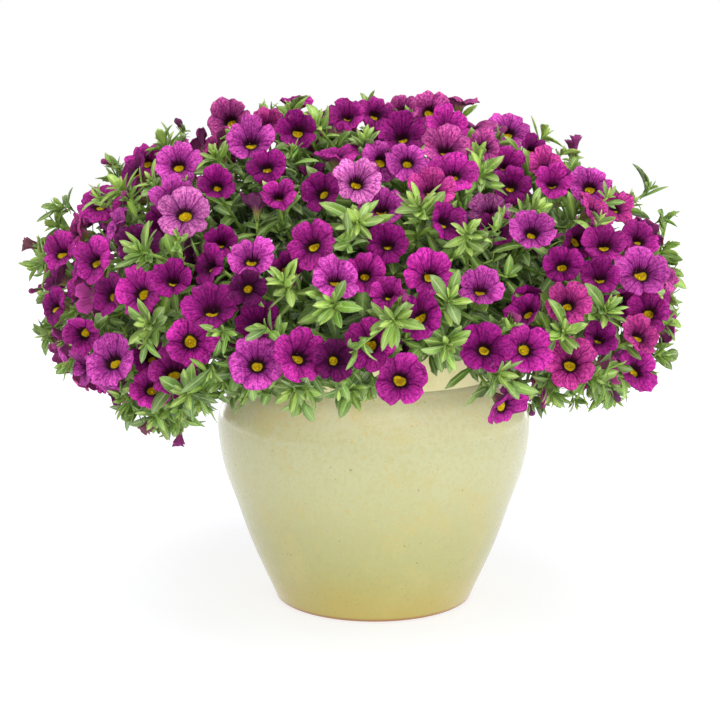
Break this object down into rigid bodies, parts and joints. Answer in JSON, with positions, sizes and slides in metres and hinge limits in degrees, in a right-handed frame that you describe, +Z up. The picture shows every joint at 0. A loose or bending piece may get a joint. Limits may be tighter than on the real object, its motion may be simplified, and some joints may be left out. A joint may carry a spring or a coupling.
{
  "type": "potted calibrachoa",
  "caption": "Mounded calibrachoa in full purple flower, spilling over the rim of a round shouldered glazed pot.",
  "frame": {"origin": "centre of the pot's flat underside, on the surface that it stands on", "axes": "+Z up along the pot's axis, -Y towards the front of the plant, +X to the right seen from the front"},
  "size_m": [0.4438, 0.4492, 0.3427],
  "materials": {
    "glaze": "glossy pale yellow-green celadon glaze, finely speckled, browner towards the foot",
    "compost": "dark, damp and crumbly potting compost, matt",
    "petals": "soft matt magenta-purple petals with darker veins, a near-black throat and a yellow eye",
    "leaves": "satin, finely hairy light green leaves and shoots"
  },
  "bodies": {
    "root": {"pot": "glaze", "soil": "compost", "flower_stem_01": "petals", "flower_stem_02": "petals", "flower_stem_03": "petals", "flower_stem_04": "petals", "flower_stem_05": "petals", "flower_stem_06": "petals", "flower_stem_07": "petals", "flower_stem_08": "petals", "flower_stem_09": "petals", "flower_stem_10": "petals", "flower_stem_11": "petals", "flower_stem_12": "petals", "flower_stem_13": "petals", "flower_stem_14": "petals", "flower_stem_15": "petals", "flower_stem_16": "petals", "flower_stem_17": "petals", "flower_stem_18": "petals", "flower_stem_19": "petals", "flower_stem_20": "petals", "flower_stem_21": "petals", "flower_stem_22": "petals", "flower_stem_23": "petals", "flower_stem_24": "petals", "leafy_stem_01": "leaves", "leafy_stem_02": "leaves", "leafy_stem_03": "leaves", "leafy_stem_04": "leaves", "leafy_stem_05": "leaves", "leafy_stem_06": "leaves", "leafy_stem_07": "leaves", "leafy_stem_08": "leaves", "leafy_stem_09": "leaves", "leafy_stem_10": "leaves", "leafy_stem_11": "leaves", "leafy_stem_12": "leaves", "leafy_stem_13": "leaves", "leafy_stem_14": "leaves", "leafy_stem_15": "leaves", "leafy_stem_16": "leaves", "leafy_stem_17": "leaves"}
  },
  "joints": []
}
